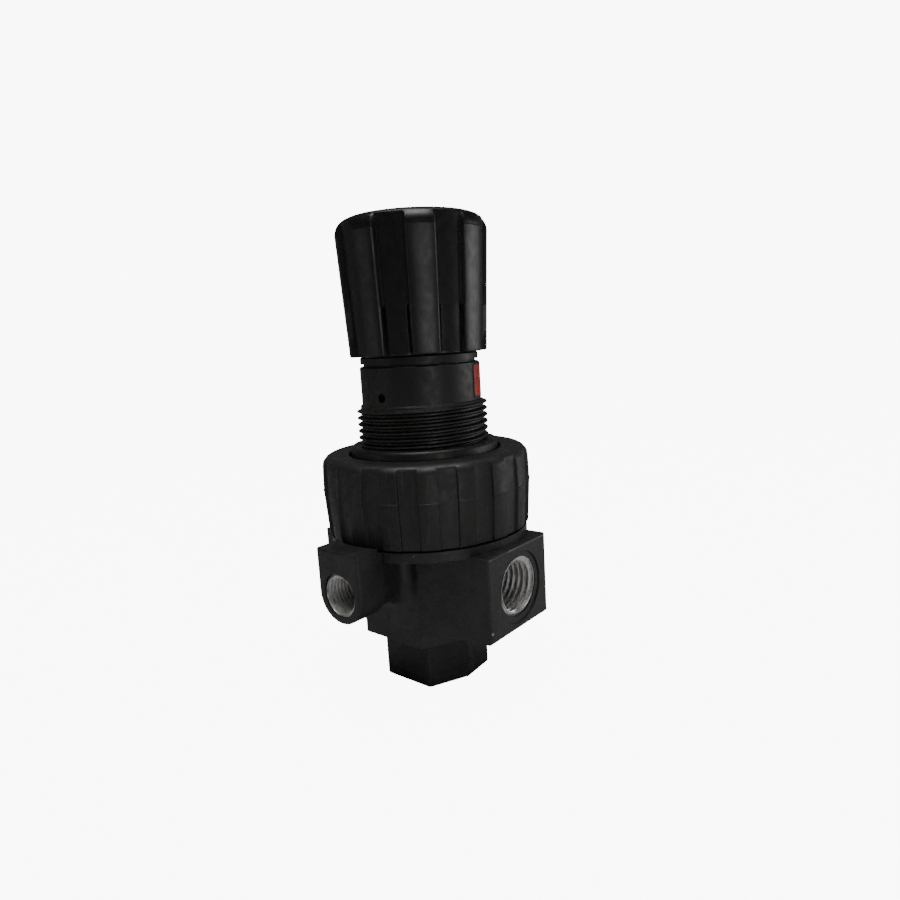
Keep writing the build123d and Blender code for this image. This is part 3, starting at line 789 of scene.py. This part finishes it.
@dataclass
class ClampRing:
    """The threaded ring that holds bonnet and body together, with shallow grip pads."""

    bottom_radius: float = 23.4
    middle_radius: float = 24.0
    top_radius: float = 23.8
    hole_radius: float = 17.6
    thread_radius: float = 21.08
    shoulder: float = 2.2
    lip: float = 0.36
    top_thickness: float = 3.2
    pad_depth: float = 0.62
    pad_edge: float = 0.12
    edge_round: float = 0.05
    swell_level: float = 9.7
    seam_level: float = 10.0
    seam_half: float = 0.12
    seam_height: float = 0.12
    foot_round: float = 0.3
    shoulder_drop: float = 3.6
    crease: float = 42.0
    phase: float = -48.0
    pads: int = 18
    columns: tuple[float, ...] = (-5.0, -4.75, 0.0, 4.75, 5.0, 5.2, 10.0, 14.8)
    pad_middle: int = 2
    pad_edges: tuple[int, ...] = (0, 4)
    floors: tuple[int, ...] = (5, 6, 7)

    def side(self, level: float, low: float, high: float) -> float:
        """Give the pads' radius at a level, all in millimetres."""
        middle = low + self.swell_level
        if level < middle:
            share = (level - low) / (middle - low)
            return self.bottom_radius + share * (self.middle_radius - self.bottom_radius)
        share = (level - middle) / (high - middle)
        return self.middle_radius + share * (self.top_radius - self.middle_radius)

    def build(self, material: Material) -> Object:
        """Model the ring and put it on its body.

        Returns:
            The finished piece.
        """
        low, high = span("clamp_ring")
        seam = low + self.seam_level
        levels = [low + self.foot_round, low + self.swell_level, seam - self.seam_half, seam]
        levels += [seam + self.seam_half, high - self.shoulder_drop]
        outline = [(self.thread_radius, low), (self.side(low, low, high) - self.foot_round, low)]
        for level in levels:
            rise = self.seam_height if level == seam else 0.0
            outline.append((self.side(level, low, high) + rise, level))
        centre = (self.top_radius - self.shoulder, high - self.shoulder)
        outline += arc(centre, self.shoulder, (90, 78, 66, 52.7, 38, 20, 0))
        lip = (self.hole_radius + self.lip, high - self.lip)
        outline += arc(lip, self.lip, (0, -30, -60, -90))
        roof = high - self.top_thickness
        outline += [(self.hole_radius, roof), (self.thread_radius, roof), (self.thread_radius, low)]
        ring = turned("grip_ring", outline, self.pads * len(self.columns), self.phase)
        column = swing_columns(ring, self.phase, self.columns, self.pad_middle, self.pads)
        for level, outer in outer_levels(ring, self.thread_radius + 0.5):
            floor = self.side(level, low, high) - self.pad_depth
            if outer <= floor + PLAY:
                continue
            draw_in(ring, column, self.floors, level, outer, floor)
            draw_in(ring, column, self.pad_edges, level, outer, max(outer - self.pad_edge, floor))
        bevel = self.edge_round * MM
        apply_modifier(ring, "BEVEL", width=bevel, segments=2, angle_limit=math.radians(40))
        finish_mesh(ring, self.crease)
        return place_piece(ring, "root", Slot.RING, material, "clamp_ring")


@dataclass
class Bonnet:
    """The spring housing: flange, stepped collar, threaded barrel and vent."""

    flange_radius: float = 20.6
    flange: float = 4.4
    flange_edge: float = 0.4
    step_radius: float = 17.0
    step: float = 5.0
    step_edge: float = 0.8
    thread_root: float = 14.08
    thread_length: float = 9.3
    barrel_radius: float = 13.66
    barrel_edge: float = 0.3
    recess_radius: float = 14.5
    recess: float = 4.7
    spring_bore: float = 11.5
    screw_bore: float = 5.0
    roof: float = 2.5
    key_slot: tuple[float, float] = (25.0, 3.2)
    corners: int = 144
    crease: float = 30.0
    vent_radius: float = 1.0
    vent_angle: float = -87.0
    vent_drop: float = 6.7
    vent_depth: float = 4.6
    crest: float = 15.0
    crest_share: float = 0.17
    pitch: float = 1.5
    ridge_sunk: float = 0.06
    ridge_width: float = 0.8
    ridge_crease: float = 35.0
    thread_start: float = -122.0
    thread_lift: float = 0.3
    turns: float = 5.66
    steps: int = 72
    fade: float = 0.93
    fade_rows: int = 12

    def build(self, material: Material) -> list[Object]:
        """Model the housing and its thread and put them on their body.

        Returns:
            The finished pieces.
        """
        low, high = span("bonnet")
        flange_top = low + self.flange
        step_top = flange_top + self.step
        thread_top = step_top + self.thread_length
        outline = [(self.recess_radius, low), (self.flange_radius, low)]
        outline += [(self.flange_radius, flange_top - self.flange_edge)]
        outline += [(self.flange_radius - self.flange_edge, flange_top)]
        outline += [(self.step_radius, flange_top)]
        edge = (self.step_radius - self.step_edge, step_top - self.step_edge)
        outline += arc(edge, self.step_edge, (90, 60, 30, 0))
        outline += [(self.thread_root, step_top), (self.thread_root, thread_top - self.barrel_edge)]
        outline += [(self.barrel_radius, thread_top), (self.barrel_radius, high - self.barrel_edge)]
        outline += [(self.barrel_radius - self.barrel_edge, high), (self.screw_bore, high)]
        outline += [(self.screw_bore, high - self.roof), (self.spring_bore, high - self.roof)]
        outline += [(self.spring_bore, low + self.recess), (self.recess_radius, low + self.recess)]
        outline += [(self.recess_radius, low)]
        housing = turned("bonnet_shell", outline, self.corners)
        finish_mesh(housing, self.crease)
        cut_away(housing, self.vent_cutter(high - self.vent_drop))
        cut_away(housing, self.key_cutter(low + self.recess, high - self.roof))
        finish_mesh(housing, self.crease)
        thread = self.thread(step_top + self.thread_lift)
        return [
            place_piece(housing, "root", Slot.BONNET, material, "bonnet"),
            place_piece(thread, "root", Slot.BONNET, material),
        ]

    def vent_cutter(self, level: float) -> Object:
        """Make the rod that drills the vent.

        Returns:
            The cutter.
        """
        turn = math.radians(self.vent_angle)
        away = Vector((math.cos(turn), math.sin(turn), 0.0))
        middle = away * (self.barrel_radius + self.spring_bore) / 2 + Vector((0.0, 0.0, level))
        deselect_everything()
        bpy.ops.mesh.primitive_cylinder_add(
            vertices=32,
            radius=self.vent_radius * MM,
            depth=self.vent_depth * MM,
            location=middle * MM,
            rotation=away.to_track_quat("Z", "Y").to_euler(),
        )
        return bpy.context.object

    def key_cutter(self, bottom: float, top: float) -> Object:
        """Make the bar that cuts the two key slots inside the barrel.

        Returns:
            The cutter.
        """
        length, width = self.key_slot
        middle = (0.0, 0.0, (bottom + top) / 2 * MM)
        deselect_everything()
        bpy.ops.mesh.primitive_cube_add(size=MM, location=middle)
        resize(length, width, top - bottom, middle)
        settle()
        return bpy.context.object

    def thread(self, level: float) -> Object:
        """Wind the panel thread's ridge, fading out at its upper end.

        Args:
            level: Where the ridge's first turn starts, in millimetres.

        Returns:
            The ridge.
        """
        base = self.thread_root - self.ridge_sunk
        depth = self.crest - base
        width = self.pitch * self.ridge_width
        steps = round(self.steps * self.turns)
        deselect_everything()
        bpy.ops.mesh.primitive_plane_add(size=MM)
        ridge = newest("panel_thread_ridge")
        edit_everything()
        resize(depth, width)
        stop_editing()
        pick(ridge, lambda v: v.co.x > 0.0)
        resize(1.0, self.crest_share)
        bpy.ops.mesh.select_all(action="SELECT")
        bpy.ops.mesh.delete(type="ONLY_FACE")
        stop_editing()
        ridge.rotation_euler = (math.pi / 2, 0.0, 0.0)
        ridge.location = ((base + depth / 2) * MM, 0.0, level * MM)
        settle()
        ridge.rotation_euler = (0.0, 0.0, math.radians(self.thread_start))
        settle()
        apply_modifier(
            ridge,
            "SCREW",
            axis="Z",
            angle=math.tau * self.turns,
            screw_offset=self.pitch * self.turns * MM,
            iterations=1,
            steps=steps,
            render_steps=steps,
            use_merge_vertices=False,
        )
        last = len(ridge.data.vertices) // 4 - 1
        for back in range(self.fade_rows):
            share = self.fade + (1.0 - self.fade) * back / self.fade_rows
            pick(ridge, lambda v, row=last - back: v.index // 4 == row)
            resize(share, share)
            stop_editing()
        edit_everything()
        bpy.ops.mesh.fill_holes(sides=4)
        stop_editing()
        finish_mesh(ridge, self.ridge_crease)
        return ridge


@dataclass
class PortThread:
    """The bright cut thread inside one port."""

    name: str
    direction: Direction
    mouth: float
    level: float
    radius: float
    length: float
    pitch: float
    depth: float
    wall: float = 0.07
    play: float = 0.02
    run_in: float = 1.2
    crease: float = 40.0
    profile: Outline = ((0.0, 0.06), (1.0, 0.45), (1.0, 0.55), (0.0, 0.94), (0.0, 1.0))
    steps: int = 56

    def build(self, material: Material) -> Object:
        """Wind the thread, trim it flat at both ends and turn it into the port.

        Returns:
            The finished piece.
        """
        root = self.radius - self.wall - self.play
        deselect_everything()
        bpy.ops.mesh.primitive_plane_add(size=MM)
        thread = newest(self.name)
        edit_everything()
        bpy.ops.mesh.merge(type="CENTER")
        bpy.ops.transform.translate(value=(root * MM, 0.0, 0.0))
        here = (root, 0.0)
        for deep, share in self.profile:
            radius = root - deep * self.depth
            rise = ((radius - here[0]) * MM, 0.0, (share - here[1]) * self.pitch * MM)
            bpy.ops.mesh.extrude_vertices_move(TRANSFORM_OT_translate={"value": rise})
            here = (radius, share)
        stop_editing()
        turns = math.ceil(self.length / self.pitch) + 2
        apply_modifier(
            thread,
            "SCREW",
            axis="Z",
            angle=math.tau,
            screw_offset=self.pitch * MM,
            iterations=turns,
            steps=self.steps,
            render_steps=self.steps,
            use_merge_vertices=True,
            merge_threshold=WELD / 2 * MM,
        )
        start = self.run_in * self.pitch
        self.trim(thread, start, False)
        self.trim(thread, start + self.length, True)
        finish_mesh(thread, self.crease)
        self.face_axis(thread)
        wall = self.wall * MM
        apply_modifier(thread, "SOLIDIFY", thickness=wall, offset=-1.0, use_rim=True)
        outward = Vector(self.direction.value)
        thread.rotation_euler = outward.to_track_quat("Z", "Y").to_euler()
        inner_end = outward * (self.mouth - self.length) + Vector((0.0, 0.0, self.level))
        turn = thread.rotation_euler.to_matrix()
        thread.location = (inner_end - turn @ Vector((0.0, 0.0, start))) * MM
        use(thread)
        settle()
        bpy.ops.object.shade_smooth_by_angle(angle=math.radians(self.crease))
        return place_piece(thread, "root", Slot.CASTING, material)

    def face_axis(self, thread: Object) -> None:
        """Turn the bare sheet's faces towards the port's axis."""
        use(thread)
        inward = sum(
            1 if Vector((face.center.x, face.center.y, 0.0)).dot(face.normal) < 0.0 else -1
            for face in thread.data.polygons
        )
        if inward < 0:
            edit_everything()
            bpy.ops.mesh.flip_normals()
            stop_editing()

    def trim(self, thread: Object, level: float, above: bool) -> None:
        """Cut the thread square across and drop what lies beyond.

        Args:
            thread: The thread, standing upright.
            level: Where to cut, in millimetres.
            above: Whether the part above is dropped, or the part below.
        """
        use(thread)
        edit_everything()
        bpy.ops.mesh.bisect(
            plane_co=(0.0, 0.0, level * MM),
            plane_no=(0.0, 0.0, 1.0),
            clear_outer=above,
            clear_inner=not above,
        )
        stop_editing()


def span(node: str) -> tuple[float, float]:
    """Give the lowest and highest levels of a CAD node at rest, in millimetres."""
    low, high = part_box(node)
    return low[2] / MM, high[2] / MM


def place_piece(
    shape: Object,
    body: str,
    slot: Slot,
    material: Material,
    *replaced: str,
) -> Object:
    """Dress a new piece and put it on its CAD body.

    Args:
        shape: The new piece.
        body: The CAD body that it moves with.
        slot: The record's material slot; not used.
        material: Its finish.
        replaced: CAD nodes that it stands for.

    Returns:
        The piece.
    """
    shape.data.materials.clear()
    shape.data.materials.append(material)
    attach(shape, body)
    if replaced:
        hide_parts(*replaced)
    LOG.info("%s: %d faces, on %s", shape.name, len(shape.data.polygons), body)
    return shape


def dress(frame: dict, nodes: Sequence[str], material: Material) -> None:
    """Give CAD nodes their finish."""
    for name in nodes:
        node = frame["nodes"][name]
        if not node.material_slots:
            node.data.materials.append(material)
        for slot in node.material_slots:
            slot.material = material
        LOG.info("%s: dressed in %s", name, material.name)


# ------------------------------------------------------------------ studio
@dataclass(frozen=True)
class Viewpoint:
    """Where the camera stands and what it looks at, in millimetres and degrees."""

    azimuth: float = 39.87
    elevation: float = 9.41
    distance: float = 156.08
    sideways: float = 5.83
    height: float = 53.97
    roll: float = -3.37
    lens: float = 26.654
    sensor: float = 36.0
    nearest: float = 5.0

    def make(self) -> None:
        """Add the camera and make it the scene's own."""
        turn, lift, lean = (math.radians(v) for v in (self.azimuth, self.elevation, self.roll))
        right = Vector((math.cos(turn), math.sin(turn), 0.0))
        away = math.cos(lift)
        back = Vector((math.sin(turn) * away, -math.cos(turn) * away, math.sin(lift)))
        up = back.cross(right)
        target = Vector((0.0, 0.0, self.height)) + right * self.sideways
        leaned_right = right * math.cos(lean) + up * math.sin(lean)
        leaned_up = up * math.cos(lean) - right * math.sin(lean)
        basis = Matrix((leaned_right, leaned_up, back)).transposed().to_4x4()
        data = bpy.data.cameras.new("camera")
        data.lens = self.lens
        data.sensor_width = self.sensor
        data.clip_start = self.nearest * MM
        camera = bpy.data.objects.new("camera", data)
        camera.matrix_world = Matrix.Translation((target + back * self.distance) * MM) @ basis
        bpy.context.scene.collection.objects.link(camera)
        bpy.context.scene.camera = camera


@dataclass(frozen=True)
class Softbox:
    """A square area lamp; places in metres, power in watts."""

    name: str
    place: Triple
    size: float
    power: float
    aim: Triple = (0.0, 0.0, 0.055)

    def make(self) -> None:
        """Add the lamp, facing its aim."""
        data = bpy.data.lights.new(self.name, "AREA")
        data.size = self.size
        data.energy = self.power
        lamp = bpy.data.objects.new(self.name, data)
        towards = Vector(self.aim) - Vector(self.place)
        facing = towards.to_track_quat("-Z", "Y").to_matrix().to_4x4()
        lamp.matrix_world = Matrix.Translation(self.place) @ facing
        bpy.context.scene.collection.objects.link(lamp)


@dataclass
class Studio:
    """A pale sweep, soft lamps and a surround that is bright for the camera only."""

    sweep: Outline = (
        (2.0, 0.0),
        (420.0, 0.0),
        (560.0, 12.0),
        (680.0, 60.0),
        (760.0, 150.0),
        (790.0, 300.0),
        (800.0, 620.0),
    )
    white: Triple = (1.0, 1.0, 1.0)
    grey: Triple = (0.50, 0.50, 0.50)
    pale_grey: Triple = (0.54, 0.54, 0.54)
    lamps: tuple[Softbox, ...] = (
        Softbox("key", (0.33, 0.38, 0.05), 0.28, 0.66),
        Softbox("top", (0.05, -0.06, 0.50), 0.30, 1.7),
        Softbox("side", (-0.27, -0.41, 0.04), 0.18, 0.075),
        Softbox("front", (0.40, -0.22, 0.03), 0.14, 0.28),
    )
    surround: float = 0.028
    glow: float = 9.0

    def build(self) -> None:
        """Make the floor, the lamps and the surround."""
        floor = turned("floor_sweep", self.sweep, 96)
        close_at_axis(floor, 3.0, 0.0)
        finish_mesh(floor, 60.0)
        self.face_up(floor)
        floor.data.materials.append(self.floor_material())
        for lamp in self.lamps:
            lamp.make()
        self.light_surround()

    def floor_material(self) -> Material:
        """Build the floor's matt grey, which glows only where the camera sees it."""
        pale = Finish("pale_floor")
        tone = pale.mix(pale.grain(60.0, 2.0), self.grey, self.pale_grey)
        seen = pale.node("LightPath", {}).outputs["Is Camera Ray"]
        pale.surface(
            Base_Color=tone,
            Roughness=0.9,
            Emission_Color=self.white,
            Emission_Strength=pale.sum("MULTIPLY", seen, self.glow),
        )
        return pale.material

    def light_surround(self) -> None:
        """Make the world bright for the camera and dim for everything else."""
        world = bpy.data.worlds.new("surround")
        world.use_nodes = True
        nodes, links = world.node_tree.nodes, world.node_tree.links
        background = nodes["Background"]
        path = nodes.new("ShaderNodeLightPath")
        strength = nodes.new("ShaderNodeMapRange")
        strength.inputs["To Min"].default_value = self.surround
        strength.inputs["To Max"].default_value = self.glow
        links.new(path.outputs["Is Camera Ray"], strength.inputs["Value"])
        links.new(strength.outputs[0], background.inputs["Strength"])
        background.inputs["Color"].default_value = (*self.white, 1.0)
        bpy.context.scene.world = world

    def face_up(self, floor: Object) -> None:
        """Make sure that the floor's faces look up and inwards."""
        if floor.data.polygons[0].normal.z < 0.0:
            use(floor)
            edit_everything()
            bpy.ops.mesh.flip_normals()
            stop_editing()


@dataclass
class Regulator:
    """The whole object: new outer pieces and finishes over the CAD frame."""

    frame: dict
    thread_setback: float = 0.15

    def build(self) -> None:
        """Model the new pieces, then dress the CAD nodes that stay."""
        barrel = MouldedPlastic(
            "bonnet_plastic",
            (0.0060, 0.0059, 0.0056),
            (0.0085, 0.0083, 0.0078),
            (0.40, 0.54),
            streaks=0.03,
        )
        ring = MouldedPlastic(
            "ring_plastic",
            (0.012, 0.0118, 0.0112),
            (0.0165, 0.0161, 0.0151),
            (0.42, 0.58),
            grain_depth=0.014,
        )
        knob = MouldedPlastic(
            "knob_plastic",
            (0.0030, 0.0031, 0.0031),
            (0.0042, 0.0043, 0.0042),
            (0.33, 0.41),
            grain_depth=0.003,
            scuffs=0.03,
            specks=0.08,
            scratch=(9.3, -13.0, 86.5),
        )
        bonnet_material = barrel.make()
        Knob().build(knob.make())
        ClampRing().build(ring.make())
        Bonnet().build(bonnet_material)
        self.build_threads()
        dress(self.frame, ("body", "bottom_plug"), CastPaint().make())
        dress(self.frame, ("lock_ring",), bonnet_material)
        dress(self.frame, ("label",), PrintedFoil().make(*span("label")))
        self.dress_inside()

    def build_threads(self) -> None:
        """Cut the four ports' threads where the record's mounts place them."""
        zinc = TurnedMetal("bare_zinc", (0.86, 0.86, 0.84), (0.74, 0.73, 0.71), 0.40, 0.3)
        bare = zinc.make()
        pitch_and_depth = {"port": (1.411, 0.95), "gauge": (0.941, 0.62)}
        for mount in self.frame["record"]["mounts"]:
            way = Direction.__members__.get(mount["name"].upper())
            if way is None:
                continue
            pitch, depth = pitch_and_depth["gauge" if "gauge" in mount["name"] else "port"]
            length = mount["dims"]["length_mm"]
            middle = Vector(mount["pos_m"]) / MM
            mouth = middle.dot(Vector(way.value)) + length / 2
            thread = PortThread(
                name=mount["name"] + "_thread",
                direction=way,
                mouth=mouth - self.thread_setback,
                level=middle.z,
                radius=mount["dims"]["r_mm"],
                length=length - 2 * self.thread_setback,
                pitch=pitch,
                depth=depth,
            )
            thread.build(bare)

    def dress_inside(self) -> None:
        """Finish the working parts inside."""
        steel = TurnedMetal("plated_steel", (0.58, 0.58, 0.57), (0.40, 0.40, 0.39), 0.3)
        spring = TurnedMetal("spring_wire", (0.32, 0.32, 0.33), (0.20, 0.20, 0.20), 0.32)
        brass = TurnedMetal("turned_brass", (0.72, 0.52, 0.22), (0.52, 0.35, 0.13), 0.24)
        cast = TurnedMetal("cast_aluminium", (0.66, 0.66, 0.67), (0.50, 0.50, 0.50), 0.42, 0.4)
        rubber = SoftPolymer("nitrile_rubber", (0.012, 0.012, 0.012), (0.028, 0.028, 0.028), 0.62)
        acetal = SoftPolymer("white_acetal", (0.80, 0.79, 0.75), (0.70, 0.69, 0.65), 0.42)
        steel_parts = ("adjusting_screw", "hub_nut", "inlet_screen", "spring_washer")
        brass_parts = ("spring_nut", "diaphragm_hub", "valve_seat", "poppet")
        rubber_parts = ("diaphragm", "seat_seal", "poppet_seal", "stem_seal", "plug_seal")
        dress(self.frame, steel_parts, steel.make())
        dress(self.frame, ("range_spring", "valve_spring"), spring.make())
        dress(self.frame, brass_parts, brass.make())
        dress(self.frame, ("diaphragm_plate",), cast.make())
        dress(self.frame, rubber_parts, rubber.make())
        dress(self.frame, ("thrust_washer", "slip_ring"), acetal.make())


def main() -> None:
    """Build the studio and the object."""
    logging.basicConfig(level=logging.INFO, format="%(name)s: %(message)s")
    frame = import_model()
    Viewpoint().make()
    Studio().build()
    Regulator(frame).build()


if __name__ == "__main__":
    main()
